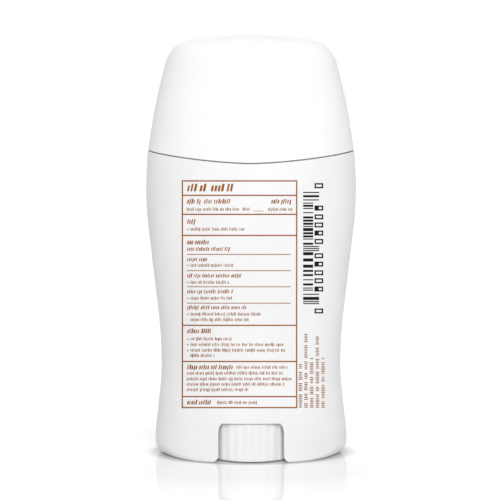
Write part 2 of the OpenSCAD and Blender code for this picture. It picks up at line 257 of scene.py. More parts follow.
def background_ray(tree: bpy.types.NodeTree) -> bpy.types.NodeSocket:
    """Picks the rays that see the background: camera, glossy and transmission.

    Args:
        tree: the node tree.

    Returns:
        A socket that is 1 for those rays and 0 for the rest.
    """
    rays = add_node(tree, "ShaderNodeLightPath").outputs
    seen = rays["Is Camera Ray"]
    for name in ("Is Glossy Ray", "Is Transmission Ray"):
        seen = add_node(tree, "ShaderNodeMath", {0: seen, 1: rays[name]},
                        {"operation": "MAXIMUM"}).outputs[0]
    return seen


@dataclass(frozen=True)
class PolishedAcrylic:
    """The studio's table top: cast white acrylic, polished, so it mirrors what stands on it.

    Its lift to plain white starts round the pack's foot. Distances are in half widths of the foot.
    """

    name: str = "polished_white_acrylic"
    colour: str = "#D8D8D8"
    rough: float = 0.05
    haze_mm: float = 6.0
    foot: Pair = (28.0, 15.6)
    # Each rise: where it starts, where it ends and how much white it adds.
    rises: tuple[Triple, ...] = ((1.0, 1.12, 0.25), (2.0, 3.6, 0.11))

    def material(self) -> bpy.types.Material:
        """Builds the material. Right under the foot it has no lift, so the contact stays dark.

        Returns:
            The finished material.
        """
        made, tree, place = start_material(self.name)
        haze = add_node(tree, "ShaderNodeTexNoise", {
            "Vector": place, "Scale": 1 / (self.haze_mm * MM), "Detail": 3.0})
        sheen = add_node(tree, "ShaderNodeMapRange", {
            "Value": haze.outputs["Fac"], "To Min": self.rough * 0.9, "To Max": self.rough * 1.1})
        shader = add_node(tree, "ShaderNodeBsdfPrincipled", {
            "Base Color": linear(self.colour), "Roughness": sheen.outputs["Result"], "IOR": 1.49})
        shrunk = add_node(tree, "ShaderNodeVectorMath", {
            0: place, 1: (self.foot[0] * MM, self.foot[1] * MM, 1.0)}, {"operation": "DIVIDE"})
        away = add_node(tree, "ShaderNodeVectorMath", {0: shrunk.outputs["Vector"]},
                        {"operation": "LENGTH"}).outputs["Value"]
        near, far = (add_node(tree, "ShaderNodeMapRange", {
            "Value": away, "From Min": start, "From Max": stop, "To Max": most}).outputs["Result"]
            for start, stop, most in self.rises)
        lift = add_node(tree, "ShaderNodeMath", {0: near, 1: far}, {"operation": "ADD"})
        gate = add_node(tree, "ShaderNodeMath", {0: background_ray(tree), 1: lift.outputs[0]},
                        {"operation": "MULTIPLY"})
        white = add_node(tree, "ShaderNodeEmission", {"Strength": gate.outputs[0]})
        total = add_node(tree, "ShaderNodeAddShader", {
            0: shader.outputs["BSDF"], 1: white.outputs["Emission"]})
        add_node(tree, "ShaderNodeOutputMaterial", {"Surface": total.outputs["Shader"]})
        return made


class Finish(Enum):
    """The pack's finishes."""

    # Polypropylene from a fine-blasted mould: clean neutral white with a soft broad highlight.
    BARREL = MouldedPlastic("moulded_polypropylene_barrel", "#F1F1F1", "#EDEDEE", (0.36, 0.42))
    # The same resin from a finer mould face, so the cap reads a touch smoother.
    CAP = MouldedPlastic("moulded_polypropylene_cap", "#F6F6F6", "#F3F3F4", (0.33, 0.39))
    # Polyethylene: softer and waxier, a little warmer, with more light inside the wall.
    HEAD = MouldedPlastic("moulded_polyethylene_head", "#F2F1EE", "#ECEBE6", (0.4, 0.5), 1.51,
                          glow=0.15)
    # Glossier polypropylene from a polished tool, as on a grip that has to release cleanly. Its white is
    # lighter than the barrel's: painted light that lifts the shade on its sides inside the notches.
    DIAL = MouldedPlastic("moulded_polypropylene_dial", "#F6F6F6", "#F2F2F3", (0.3, 0.36),
                          grain_depth_mm=0.004, depth_mm=2.0, glow=0.6)
    # Polyethylene piston: waxy and faintly cloudy.
    ELEVATOR = MouldedPlastic("moulded_polyethylene_elevator", "#ECEBE7", "#E3E2DC", (0.42, 0.5),
                              1.51, glow=0.15)
    # Acetal screw: dense, smooth and milky.
    SCREW = MouldedPlastic("moulded_acetal_screw", "#EFEEE9", "#E8E7E0", (0.24, 0.3), 1.48,
                           grain_depth_mm=0.003)
    FILL = Cream()
    # Two screen inks: a burnt orange for rules and rows, black for the bar block.
    ORANGE = PrintingInk("screen_ink_orange", "#94570F", "#A0641C")
    BLACK = PrintingInk("screen_ink_black", "#060606", "#0E0E0F")
    TABLE = PolishedAcrylic()


# Mesh building

# The counts given to linspace, and heights between the ends of a straight wall, say how finely a
# stretch is drawn, not what shape it has.
ANGLES = np.arange(AROUND) * 2 * pi / AROUND
QUARTER = pi / 2
CREASE = 38.0
SLIVER = 0.001 * MM
# Width of a small broken edge, and half width of the first ring round a dome's middle.
BREAK = 0.2
FIRST = 0.6


def oval(a: Size, b: Size, z: Size, angles: np.ndarray = ANGLES) -> np.ndarray:
    """Ring of half width a, half depth b and height z, each one value or one for each angle."""
    return np.stack(np.broadcast_arrays(a * np.cos(angles), b * np.sin(angles), z), axis=1)


def pole(z: float) -> np.ndarray:
    """A single point on the axis, which closes a skin."""
    return np.array([[0.0, 0.0, z]])


def bend(p: Row, c: Row, q: Row, n: int) -> np.ndarray:
    """Gives n + 1 points of a rounded corner from p to q, whose tangents meet at c."""
    t, (p, c, q) = np.linspace(0, 1, n + 1)[:, None], (np.asarray(v, float) for v in (p, c, q))
    return (1 - t) ** 2 * p + 2 * t * (1 - t) * c + t ** 2 * q


def rounding(radius: float, shares: Row) -> list[Pair]:
    """Depth below a face and spread of a cut with a rounded edge, at shares of the radius."""
    return [(d * radius, radius - sqrt(radius ** 2 - (radius - d * radius) ** 2)) for d in shares]


def meet(p: Row, u: Row, q: Row, v: Row) -> np.ndarray:
    """Finds where the line from p along u meets the line from q along v."""
    p, u, q, v = (np.asarray(w, float) for w in (p, u, q, v))
    return p + u * ((q[0] - p[0]) * v[1] - (q[1] - p[1]) * v[0]) / (u[0] * v[1] - u[1] * v[0])


class Form:
    """A mesh in the making: points and faces in millimetres."""

    def __init__(self) -> None:
        """Starts with no points."""
        self.points: list[Triple] = []
        self.faces: list[tuple[int, ...]] = []

    def add_ring(self, ring: np.ndarray) -> list[int]:
        """Adds the points of a ring and gives their numbers."""
        self.points.extend(map(tuple, ring.tolist()))
        return list(range(len(self.points) - len(ring), len(self.points)))

    def skin(self, rings: Sequence[np.ndarray], closed: bool = False, capped: bool = False) -> None:
        """Joins rings by faces, in order.

        Args:
            rings: rings with the same number of points, or single points at the ends.
            closed: joins the last ring to the first.
            capped: closes the first and last ring with one face each.
        """
        numbers = [self.add_ring(r) for r in rings]
        if capped:
            self.faces += [tuple(numbers[0]), tuple(reversed(numbers[-1]))]
        pairs = list(zip(numbers, numbers[1:])) + ([(numbers[-1], numbers[0])] if closed else [])
        for low, high in pairs:
            n = max(len(low), len(high))
            for i in range(n):
                j = (i + 1) % n
                corners = [ring[k % len(ring)] for ring, k in ((low, i), (low, j), (high, j), (high, i))]
                self.faces.append(tuple(dict.fromkeys(corners)))

    def rib(self, size: Row, centre: Row, turn: float = 0.0, edge: float = 0.15) -> None:
        """Adds a flat rib with softened edges.

        Args:
            size: length, thickness and height.
            centre: the rib's middle.
            turn: its angle about the vertical, in degrees.
            edge: width of the softened edge.
        """
        x, y, z = (s / 2 for s in size)
        e = min(edge, x, y, z) * 0.9
        turned = radians(turn)
        rings = []
        for h, inset in ((-z, e), (-z + e, 0), (z - e, 0), (z, e)):
            a, b = x - inset, y - inset
            flat = np.array([(-a + e, -b), (a - e, -b), (a, -b + e), (a, b - e),
                             (a - e, b), (-a + e, b), (-a, b - e), (-a, -b + e)])
            rings.append(np.column_stack([
                centre[0] + flat[:, 0] * cos(turned) - flat[:, 1] * sin(turned),
                centre[1] + flat[:, 0] * sin(turned) + flat[:, 1] * cos(turned),
                np.full(8, centre[2] + h)]))
        self.skin(rings, capped=True)

    def piece(self, name: str, crease: float = CREASE) -> bpy.types.Object:
        """Turns the form into an object in the scene.

        Args:
            name: the object's name.
            crease: angle in degrees above which an edge stays sharp.

        Returns:
            The object, in metres.
        """
        mesh = bpy.data.meshes.new(name)
        mesh.from_pydata((np.array(self.points) * MM).tolist(), [], self.faces)
        work = bmesh.new()
        work.from_mesh(mesh)
        bmesh.ops.recalc_face_normals(work, faces=work.faces)
        work.to_mesh(mesh)
        work.free()
        made = bpy.data.objects.new(name, mesh)
        bpy.context.scene.collection.objects.link(made)
        smooth(made, crease)
        return made


def smooth(piece: bpy.types.Object, crease: float) -> None:
    """Shades a piece smooth, but for edges of more than crease degrees."""
    piece.data.shade_smooth()
    piece.data.set_sharp_from_angle(angle=radians(crease))


def cut(piece: bpy.types.Object, cutter: bpy.types.Object) -> None:
    """Cuts a form out of a piece for good and removes the cutter.

    Args:
        piece: the object that is cut.
        cutter: the object to cut with.
    """
    step = piece.modifiers.new("cut", "BOOLEAN")
    step.operation, step.solver, step.object = "DIFFERENCE", "EXACT", cutter
    graph = bpy.context.evaluated_depsgraph_get()
    whole, piece.data = piece.data, bpy.data.meshes.new_from_object(piece.evaluated_get(graph))
    piece.modifiers.clear()
    work = bmesh.new()
    work.from_mesh(piece.data)
    bmesh.ops.dissolve_degenerate(work, dist=SLIVER, edges=work.edges)
    work.to_mesh(piece.data)
    work.free()
    bpy.data.meshes.remove(whole)
    bpy.data.objects.remove(cutter)
    smooth(piece, CREASE)


def soften(piece: bpy.types.Object) -> None:
    """Weights the shading by face size, so that cut edges don't pull on the walls beside them."""
    step = piece.modifiers.new("weighted", "WEIGHTED_NORMAL")
    step.keep_sharp, step.weight = True, 50


def place(piece: bpy.types.Object, body: str, finish: Finish, slot: str, *nodes: str) -> None:
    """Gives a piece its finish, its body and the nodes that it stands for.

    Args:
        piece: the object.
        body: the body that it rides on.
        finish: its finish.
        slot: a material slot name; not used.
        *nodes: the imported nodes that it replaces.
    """
    piece.data.materials.clear()
    piece.data.materials.append(finish.value.material())
    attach(piece, body)
    if nodes:
        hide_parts(*nodes)
    LOG.info("%s: %d faces on %s", piece.name, len(piece.data.polygons), body)


# The pack


@dataclass(frozen=True)
class PackOutline:
    """The outline that barrel and cap share, and the curved parting line between them.

    Its outer face lies set_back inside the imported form, so that the ink on it stays in the box.
    """

    shoulder_w: float = 60.8
    shoulder_d: float = 34.0
    shoulder_z: float = 77.0
    shoulder_r: float = 130.0
    waist_w: float = 52.4
    waist_z: float = 27.0
    base_w: float = 56.2
    foot_h: float = 3.4
    soft_ends: Pair = (0.3, 0.22)
    wall: float = 1.5
    parting_z: float = 86.22
    parting_rise: float = 2.55
    set_back: float = 0.05

    @property
    def oval_out(self) -> float:
        """Depth to width of the outer section."""
        return self.shoulder_d / self.shoulder_w

    @property
    def oval_in(self) -> float:
        """Depth to width of the section inside the wall."""
        return (self.shoulder_d / 2 - self.wall) / (self.shoulder_w / 2 - self.wall)

    def swell(self, t: np.ndarray) -> np.ndarray:
        """Steps smoothly from 0 to 1, straight between soft ends.

        Args:
            t: the way along, 0 to 1.

        Returns:
            The share reached.
        """
        e1, e2 = self.soft_ends
        m, t = 1 / (1 - (e1 + e2) / 2), np.clip(t, 0, 1)
        return np.where(t < e1, m * t * t / (2 * e1),
                        np.where(t > 1 - e2, 1 - m * (1 - t) ** 2 / (2 * e2), m * (t - e1 / 2)))

    def half_width(self, z: Size) -> np.ndarray:
        """Half the barrel's width: foot, waist, straight flare, round shoulder.

        Args:
            z: height.

        Returns:
            The half width there.
        """
        z = np.asarray(z, float)
        waist, shoulder = self.waist_w / 2, self.shoulder_w / 2
        flare = waist + (shoulder - waist) * self.swell(
            (z - self.waist_z) / (self.shoulder_z - self.waist_z))
        foot = waist + (self.base_w / 2 - waist) * self.swell(
            (self.waist_z - z) / (self.waist_z - self.foot_h))
        above = shoulder - (z - self.shoulder_z) ** 2 / (2 * self.shoulder_r)
        size = np.where(z > self.shoulder_z, above, np.where(z > self.waist_z, flare, foot))
        return size - self.set_back

    def wall_ring(self, z: Size, inset: float = 0.0) -> np.ndarray:
        """Ring at height z, inset below the outer face; at the wall's thickness, the inner face."""
        a, deep = self.half_width(z), inset / self.wall
        return oval(a - inset, a * self.oval_out * (1 - deep) + (a - self.wall) * self.oval_in * deep, z)

    def parting(self, x: np.ndarray, gap: float = 0.0) -> np.ndarray:
        """Height of the parting line x from the middle, gap above the barrel's rim."""
        rim = float(self.half_width(self.parting_z))
        return self.parting_z + gap + self.parting_rise * (abs(x) / rim) ** 1.5

    def front(self, x: np.ndarray, z: np.ndarray) -> np.ndarray:
        """How far the front face lies before the middle plane at x and z."""
        a = self.half_width(np.maximum(z, 0))
        return a * self.oval_out * np.sqrt(np.maximum(1 - (x / a) ** 2, 0))


OUTLINE = PackOutline()


@dataclass(frozen=True)
class Notch:
    """A finger notch at the barrel's foot, with its moulded edge."""

    width: float = 18.8
    height: float = 11.5
    corner: Pair = (1.4, 3.4)
    foot_r: float = 2.2
    edge: float = 0.4
    outside: float = 22.0
    reach: float = 11.0
    # Spread and slope of the rounding near the face, in edge radii, carried on past the face.
    start: Pair = (0.659, 2.76)

    def outline(self) -> tuple[np.ndarray, np.ndarray]:
        """Gives the notch's outline from its left foot over the top to its right foot.

        Returns:
            Points (x, z) and the outward direction at each.
        """
        half, (rx, rz), foot = self.width / 2, self.corner, self.foot_r
        quarter = np.linspace(0, 1, 9) * QUARTER
        left = [(-half - foot, -1.0)]
        left += [(-half - foot + foot * sin(t), foot - foot * cos(t)) for t in quarter]
        left += [(-half, z) for z in np.linspace(foot, self.height - rz, 14)[1:-1]]
        left += [(-half + rx - rx * cos(t), self.height - rz + rz * sin(t)) for t in quarter]
        top = [(x, self.height) for x in np.linspace(-half + rx, half - rx, 22)[1:-1]]
        path = np.array(left + top + [(-x, z) for x, z in reversed(left)])
        along = np.gradient(path, axis=0)
        along /= np.linalg.norm(along, axis=1)[:, None]
        away = np.stack([-along[:, 1], along[:, 0]], axis=1)
        away[0], away[-1] = (-1.0, 0.0), (1.0, 0.0)
        return path, away

    def cutter(self, side: int) -> bpy.types.Object:
        """Makes the tool that opens one notch and rounds its edge.

        Args:
            side: -1 for the front, 1 for the back.

        Returns:
            The cutter.
        """
        path, away = self.outline()
        q, (first, slope) = self.edge, self.start
        mouth = first * q + 0.18 * q * slope
        stations = [(None, mouth), (-0.12 * q, mouth)]
        stations += rounding(q, (0.06, 0.14, 0.28, 0.45, 0.65, 0.85, 1.0))
        stations += [(3.2, 0.0), (inf, 0.0)]
        rings = []
        for depth, spread in stations:
            x, z = (path + away * spread).T
            if depth is None:
                y = np.full_like(x, self.outside)
            elif isinf(depth):
                y = np.full_like(x, self.reach)
            else:
                y = OUTLINE.front(x, z) - depth
            rings.append(np.column_stack([x, side * y, z]))
        form = Form()
        form.skin(rings, capped=True)
        return form.piece("notch_cutter")


@dataclass
class Barrel:
    """The barrel: flared outer wall, straight inner tube and floor in one moulding."""

    notch: Notch = field(default_factory=Notch)
    foot_edge: float = 0.45
    foot_end: Pair = (2.7, 3.8)
    # Where the pack's two ends begin and how far they go on, as a cosine round the oval.
    end_zone: Pair = (0.5, 0.42)
    foot_step: float = 0.15
    # Inside of the foot: height, and how much thicker the wall is at the pack's two ends.
    foot_wall: tuple[Pair, ...] = (
        (0.0, 1.9), (1.0, 0.8), (3.0, 0.2), (5.5, 0.0), (8.0, 0.0), (10.5, 0.0), (13.4, 0.0))
    plain_z: Pair = (13.5, 70.0)
    rim_z: float = 87.0
    rim_edge: float = 0.15
    rim_lip: float = 0.4
    rim_sink: float = 0.45
    rim_ease: float = 0.15
    tube_wall: float = 1.3
    bore: Pair = (24.5, 12.0)
    tube_top: float = 84.0
    pocket_z: float = 50.0
    floor_z: float = 13.4
    floor_top: float = 15.0
    boss_r: float = 6.4
    boss_h: float = 1.4
    bearing_r: float = 4.08
    recess_r: float = 9.0

    def rings(self) -> list[np.ndarray]:
        """Lays out the whole skin, from the foot up the outside and down the inside.

        Returns:
            The rings, the last of which joins the first.
        """
        o, low, (plain, high) = OUTLINE, self.foot_step, self.plain_z
        start, length = self.end_zone
        end = np.clip((abs(np.cos(ANGLES)) - start) / length, 0, 1) ** 2
        inset, rise = (self.foot_edge + (size - self.foot_edge) * end for size in self.foot_end)
        foot = [o.wall_ring(z, o.wall + thick * end) for z, thick in self.foot_wall]
        rings = [foot[0], o.wall_ring(0.0, inset + 0.15), o.wall_ring(low, inset + 0.1)]
        for t in np.linspace(0.12, 1, 8) * QUARTER:
            rings.append(o.wall_ring(low + rise * (1 - cos(t)), inset * (1 - sin(t))))
        for t in np.linspace(0, 1, 22)[1:]:
            rings.append(o.wall_ring(low + rise + (plain - low - rise) * t))
        rings += [o.wall_ring(z) for z in np.linspace(plain, high, 52)[1:]]
        rim, k = o.parting(o.half_width(self.rim_z) * np.cos(ANGLES)), self.rim_edge
        for t in np.linspace(0, 1, 17)[1:]:
            rings.append(o.wall_ring(high + (rim - k - high) * t))
        for t in np.linspace(0.2, 1, 5) * QUARTER:
            rings.append(o.wall_ring(rim - k + k * sin(t), k * (1 - cos(t))))
        sink, ease = self.rim_sink, self.rim_ease
        rings += [o.wall_ring(rim - sink, inset) for inset in (self.rim_lip, o.wall - ease)]
        for t in np.linspace(1, 0, 14)[1:]:
            rings.append(o.wall_ring(self.pocket_z + (rim - (sink + ease) - self.pocket_z) * t, o.wall))
        (a, b), w, top, floor = self.bore, self.tube_wall, self.tube_top, self.floor_top
        tube = [(w, self.pocket_z), (w, 60.0), (w, 72.0), (w, top - BREAK), (w - BREAK, top), (0.3, top),
                (0.0, top - 0.5), (0.0, 70.0), (0.0, 50.0), (0.0, 30.0), (0.0, floor + 0.5), (-0.5, floor)]
        rings += [oval(a + wider, b + wider, z) for wider, z in tube]
        boss, over = self.boss_r, floor + self.boss_h
        bearing = [(boss, floor), (boss, over - BREAK), (boss - BREAK, over), (self.bearing_r, over),
                   (self.bearing_r, self.floor_z), (self.recess_r, self.floor_z)]
        return rings + [oval(r, r, z) for r, z in bearing] + foot[:0:-1]

    def build(self) -> None:
        """Builds the barrel, opens its two notches and dresses it."""
        form = Form()
        form.skin(self.rings(), closed=True)
        barrel = form.piece("barrel_shell")
        for side in (-1, 1):
            cut(barrel, self.notch.cutter(side))
        soften(barrel)
        place(barrel, "pack", Finish.BARREL, "barrel", "barrel")


@dataclass
class Cap:
    """The cap: domed cover with a curved edge, an inner lip and six grip ribs."""

    top: float = 121.8
    wall: float = 1.5
    step: float = -0.13
    lean: float = 7.7
    side_r: float = 200.0
    crown_r: float = 110.0
    corner_h: float = 27.1
    corner_x: float = 17.4
    line_gap: float = 0.34
    edge: float = 0.15
    lip_a: float = 28.2
    lip_b: float = 15.03
    lip_t: float = 1.0
    lip_z: float = 85.5
    lip_top: float = 91.0
    neck: Pair = (27.02, 13.73)
    rib_top: float = 95.5
    rib_x: float = 13.0
    rib_t: float = 1.0
    rib_root: float = 0.5

    @property
    def half(self) -> float:
        """Half the cap's width at the parting line."""
        return float(OUTLINE.half_width(OUTLINE.parting_z)) - self.step

    @property
    def oval_in(self) -> float:
        """Depth to width of the section inside the cap's wall."""
        return (self.half * OUTLINE.oval_out - self.wall) / (self.half - self.wall)

    def side(self, z: Size) -> Size:
        """Half the cap's width at a height."""
        up = z - OUTLINE.parting_z
        return self.half - tan(radians(self.lean)) * up - up ** 2 / (2 * self.side_r)

    def crown(self, x: float) -> float:
        """Height of the crown at a distance from the middle."""
        return self.top - x * x / (2 * self.crown_r)

    def arch(self, t: float) -> list[Pair]:
        """Gives the outline from the crown's middle to the foot of the corner, set in by t.

        Args:
            t: depth below the outer face.

        Returns:
            Points (half width, height), without the one on the axis.
        """
        z0 = OUTLINE.parting_z + self.corner_h - t / 2
        x1 = self.corner_x - t / 2
        slope = tan(radians(self.lean)) + (z0 - OUTLINE.parting_z) / self.side_r
        p, q = (self.side(z0) - t, z0), (x1, self.crown(x1) - t)
        c = meet(p, (-slope, 1), q, (1, -x1 / self.crown_r))
        flat = [(x, self.crown(x) - t) for x in np.linspace(FIRST, x1, 16)[:-1]]
        return flat + [tuple(v) for v in bend(p, c, q, 22)[::-1]]

    def rings(self) -> list[np.ndarray]:
        """Lays out the whole skin, from the crown down the outside and up the inside.

        Returns:
            The rings between two poles.
        """
        out, inner, w, k = OUTLINE.oval_out, self.oval_in, self.wall, self.edge
        outside, inside = self.arch(0.0), self.arch(w)
        rings = [pole(self.top)] + [oval(a, a * out, z) for a, z in outside]
        low = OUTLINE.parting(self.side(OUTLINE.parting_z + 1) * np.cos(ANGLES), self.line_gap)
        high = outside[-1][1]
        for t in np.linspace(1, 0, 26)[1:]:
            z = low + k + (high - low - k) * t
            rings.append(oval(self.side(z), self.side(z) * out, z))
        for t in np.linspace(0.2, 1, 5) * QUARTER:
            z, inset = low + k * (1 - sin(t)), k * (1 - cos(t))
            rings.append(oval(self.side(z) - inset, self.side(z) * out - inset, z))
        a, b, t, foot = self.lip_a, self.lip_b, self.lip_t, self.lip_z
        lip = [(0.0, low), (0.0, foot + 0.3), (0.25, foot), (t - 0.15, foot), (t, foot + BREAK),
               (t, self.lip_top)]
        rings += [oval(a - inset, b - inset, z) for inset, z in lip]
        for z in np.linspace(self.lip_top, inside[-1][1], 9)[:-1]:
            rings.append(oval(self.side(z) - w, (self.side(z) - w) * inner, z))
        return rings + [oval(x, x * inner, z) for x, z in inside[::-1]] + [pole(self.top - w)]

    def build(self) -> None:
        """Builds the cap with its ribs and dresses it."""
        form = Form()
        form.skin(self.rings())
        tall = self.rib_top - self.lip_top + self.rib_root
        mid = (self.rib_top + self.lip_top - self.rib_root) / 2
        (a, b), thick = self.neck, self.rib_t
        wall_a = self.side(self.rib_top) - self.wall + self.rib_root
        for x in (-self.rib_x, self.rib_x):
            y0 = b * sqrt(1 - (x / a) ** 2)
            y1 = wall_a * self.oval_in * sqrt(1 - (x / wall_a) ** 2)
            for side in (-1, 1):
                form.rib((thick, y1 - y0, tall), (x, side * (y0 + y1) / 2, mid))
        for side in (-1, 1):
            form.rib((wall_a - a, thick, tall), (side * (wall_a + a) / 2, 0.0, mid))
        cap = form.piece("cap_shell")
        soften(cap)
        place(cap, "cap", Finish.CAP, "cap", "cap")


@dataclass
class ApplicatorHead:
    """The applicator head: plug, flange and neck under a dome with rows of holes."""

    neck: Pair = (26.87, 13.58)
    wall: float = 1.3
    flange: Pair = (28.57, 15.28)
    plug: Pair = (24.45, 11.95)
    plug_wall: float = 1.2
    plug_z: float = 80.4
    flange_z: float = 84.0
    flange_top: float = 85.4
    neck_top: float = 95.4
    dome_top: float = 106.0
    dome_r: float = 60.0
    dome_x: float = 20.07
    hole_d: float = 2.4
    hole_pitch: float = 6.2
    row_pitch: float = 4.6
    hole_edge: float = 0.3
    hole_sides: int = 28
    drill_z: Pair = (-2.0, 5.0)

    def crown(self, x: Size) -> Size:
        """Height of the dome at a distance from the middle along the width."""
        return self.dome_top - x ** 2 / (2 * self.dome_r)

    def arch(self, t: float) -> list[Pair]:
        """Gives the dome's outline from its middle to the top of the neck, set in by t.

        Args:
            t: depth below the outer face.

        Returns:
            Points (half width, height), without the one on the axis.
        """
        q = (self.dome_x - t, self.crown(self.dome_x - t) - t)
        p = (self.neck[0] - t, self.neck_top)
        c = meet(p, (0, 1), q, (1, -q[0] / self.dome_r))
        flat = [(x, self.crown(x) - t) for x in np.linspace(FIRST, q[0], 24)[:-1]]
        return flat + [tuple(v) for v in bend(p, c, q, 16)[::-1]]

    def holes(self) -> list[Pair]:
        """Centres of the holes: staggered rows that stay on the crown."""
        a, b = self.dome_x - self.hole_d / 2, self.dome_x * self.neck[1] / self.neck[0] - self.hole_d / 2
        spots = [((i + (0.5 if row % 2 else 0)) * self.hole_pitch, row * self.row_pitch)
                 for row in range(-2, 3) for i in range(-5, 6)]
        return [(x, y) for x, y in spots if (x / a) ** 2 + (y / b) ** 2 < 1]

    def drills(self) -> bpy.types.Object:
        """Makes the tool that drills all holes and rounds their upper edge.

        Returns:
            The cutter.
        """
        form, r, q, (above, below) = Form(), self.hole_d / 2, self.hole_edge, self.drill_z
        turn = np.arange(self.hole_sides) * 2 * pi / self.hole_sides
        ratio = self.neck[1] / self.neck[0]
        stations = [(above, 1.1 * q), (-0.12 * q, 1.1 * q)]
        stations += rounding(q, (0.06, 0.2, 0.45, 0.7, 1)) + [(below, 0.0)]
        for cx, cy in self.holes():
            rings = []
            for depth, spread in stations:
                x, y = cx + (r + spread) * np.cos(turn), cy + (r + spread) * np.sin(turn)
                rings.append(np.column_stack([x, y, self.crown(np.hypot(x, y / ratio)) - depth]))
            form.skin(rings, capped=True)
        return form.piece("hole_drills")

    def build(self) -> None:
        """Builds the head, drills its holes and dresses it."""
        w, thin, top, foot = self.wall, self.plug_wall, self.flange_top, self.plug_z
        ratio, inner = self.neck[1] / self.neck[0], (self.neck[1] - w) / (self.neck[0] - w)
        rings = [pole(self.dome_top)] + [oval(a, a * ratio, z) for a, z in self.arch(0.0)]
        steps = [
            (self.neck, [(0.0, 92.0), (0.0, 89.0), (0.0, top + 0.4), (0.12, top + 0.12), (0.4, top)]),
            (self.flange, [(-BREAK, top), (0.0, top - BREAK), (0.0, self.flange_z)]),
            (self.plug, [(0.0, self.flange_z), (0.0, foot + 0.5), (-0.3, foot), (-thin, foot),
                         (-thin, top)]),
            (self.neck, [(-w, top), (-w, 90.0)])]
        for (a, b), spots in steps:
            rings += [oval(a + wider, b + wider, z) for wider, z in spots]
        rings += [oval(a, a * inner, z) for a, z in self.arch(w)[::-1]] + [pole(self.dome_top - w)]
        form = Form()
        form.skin(rings)
        head = form.piece("applicator_head_shell")
        cut(head, self.drills())
        soften(head)
        place(head, "pack", Finish.HEAD, "applicator_head", "applicator_head")


@dataclass
class Dial:
    """The dial: fluted grip wheel, open below, with a ribbed hub for the screw's peg."""

    radius: float = 14.81
    low: float = 0.3
    top: float = 11.3
    ring_r: float = 6.5
    ring_top: float = 12.6
    flutes: int = 36
    flute_steps: int = 12
    turned: float = 4.0
    depth: float = 0.18
    edge: float = 0.35
    top_edge: float = 0.4
    wall: float = 1.7
    top_t: float = 1.8
    hub_r: float = 5.2
    hub_z: float = 2.0
    socket_half: float = 2.65
    socket_z: float = 4.55
    ribs: int = 6
    rib_t: float = 1.0

    def build(self) -> None:
        """Builds the dial and dresses it."""
        points = self.flutes * self.flute_steps
        turn = np.arange(points) * 2 * pi / points
        wave = (1 - np.cos(self.flutes * (turn + radians(90 + self.turned)))) / 2 * self.depth
        square = self.socket_half / np.maximum(abs(np.cos(turn)), abs(np.sin(turn)))

        def ring(r: Size, z: float) -> np.ndarray:
            """Round ring of the dial's own angles."""
            return oval(r, r, z, turn)

        r, e, k, top = self.radius, self.edge, self.top_edge, self.top
        under, inner, hub = top - self.top_t, self.radius - self.wall, self.hub_r
        rings = [pole(self.socket_z)] + [ring(size, z) for size, z in (
            (square, self.socket_z), (square, self.ring_top), (self.ring_r - BREAK, self.ring_top),
            (self.ring_r, self.ring_top - BREAK), (self.ring_r, top), (r - self.depth - 1.2, top))]
        for t in np.linspace(0, 1, 5) * QUARTER:
            rings.append(ring(r - wave - k * (1 - sin(t)), top - k * (1 - cos(t))))
        rings += [ring(r - wave, z) for z in np.linspace(top - k, self.low + e, 9)[1:]]
        for t in np.linspace(0, 1, 9)[1:] * QUARTER:
            fade = wave * (1 - 0.8 * sin(t / 2 + 0.1))
            rings.append(ring(r - fade - e * (1 - cos(t)), self.low + e * (1 - sin(t))))
        rings += [ring(size, z) for size, z in (
            (inner + BREAK, self.low), (inner, self.low + BREAK), (inner, under - 0.6), (inner - 0.6, under),
            (hub + 0.4, under), (hub, under - 0.4), (hub, self.hub_z + 0.3), (hub - 0.3, self.hub_z))]
        rings.append(pole(self.hub_z))
        form = Form()
        form.skin(rings)
        reach, tall, middle = inner - hub + 0.8, under - self.hub_z + 0.4, (inner + hub) / 2
        for i in range(self.ribs):
            angle = radians((i + 0.5) * 360 / self.ribs)
            form.rib((reach, self.rib_t, tall),
                     (middle * cos(angle), middle * sin(angle), self.hub_z + tall / 2),
                     degrees(angle))
        dial = form.piece("dial_grip")
        soften(dial)
        place(dial, "dial", Finish.DIAL, "dial", "dial")


@dataclass
class Fill:
    """The cream between the elevator and the head's plug, round the screw."""

    half: Pair = (24.4, 11.9)
    low: float = 26.15
    high: float = 80.25
    core_r: float = 4.8
    round_r: float = 0.8
    keep: float = 0.0019

    def build(self) -> None:
        """Builds the fill, dresses it and gives it a mesh of its own."""
        (a, b), r, c, low, high = self.half, self.round_r, self.core_r, self.low, self.high
        bends = np.linspace(0, 1, 6) * QUARTER
        sides = [(r * sin(t), low + r * (1 - cos(t))) for t in bends]
        sides += [(r, z) for z in np.linspace(low + r, high - r, 12)[1:-1]]
        sides += [(r * cos(t), high - r + r * sin(t)) for t in bends]
        rings = [oval(a - r + out, b - r + out, z) for out, z in sides]
        for share in (0.8, 0.6, 0.4, 0.2, 0.0):
            rings.append(oval(c + (a - r - c) * share, c + (b - r - c) * share, high))
        rings += [oval(c, c, z) for z in np.linspace(high, low, 9)[1:]]
        form = Form()
        form.skin(rings, closed=True)
        cream = form.piece("cream_fill")
        place(cream, "pack", Finish.FILL, "cream", "cream")
        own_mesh(cream)


@dataclass
class InnerWorks:
    """The elevator and the feed screw, whose packed forms are right: they get a finish only."""

    def build(self) -> None:
        """Dresses both nodes."""
        for name, finish in (("elevator", Finish.ELEVATOR), ("feed_screw", Finish.SCREW)):
            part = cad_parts[name]
            part.data.materials.clear()
            part.data.materials.append(finish.value.material())
            LOG.info("%s: keeps its packed form", name)


# The print


class Weight(Enum):
    """How heavy a row of greeked words is: height, dash width, gap and lean."""

    TITLE = (2.75, 0.58, 0.36, 0.2)
    BOLD = (1.7, 0.34, 0.24, 0.2)
    FIRM = (1.4, 0.27, 0.22, 0.2)
    LIGHT = (1.15, 0.21, 0.2, 0.0)


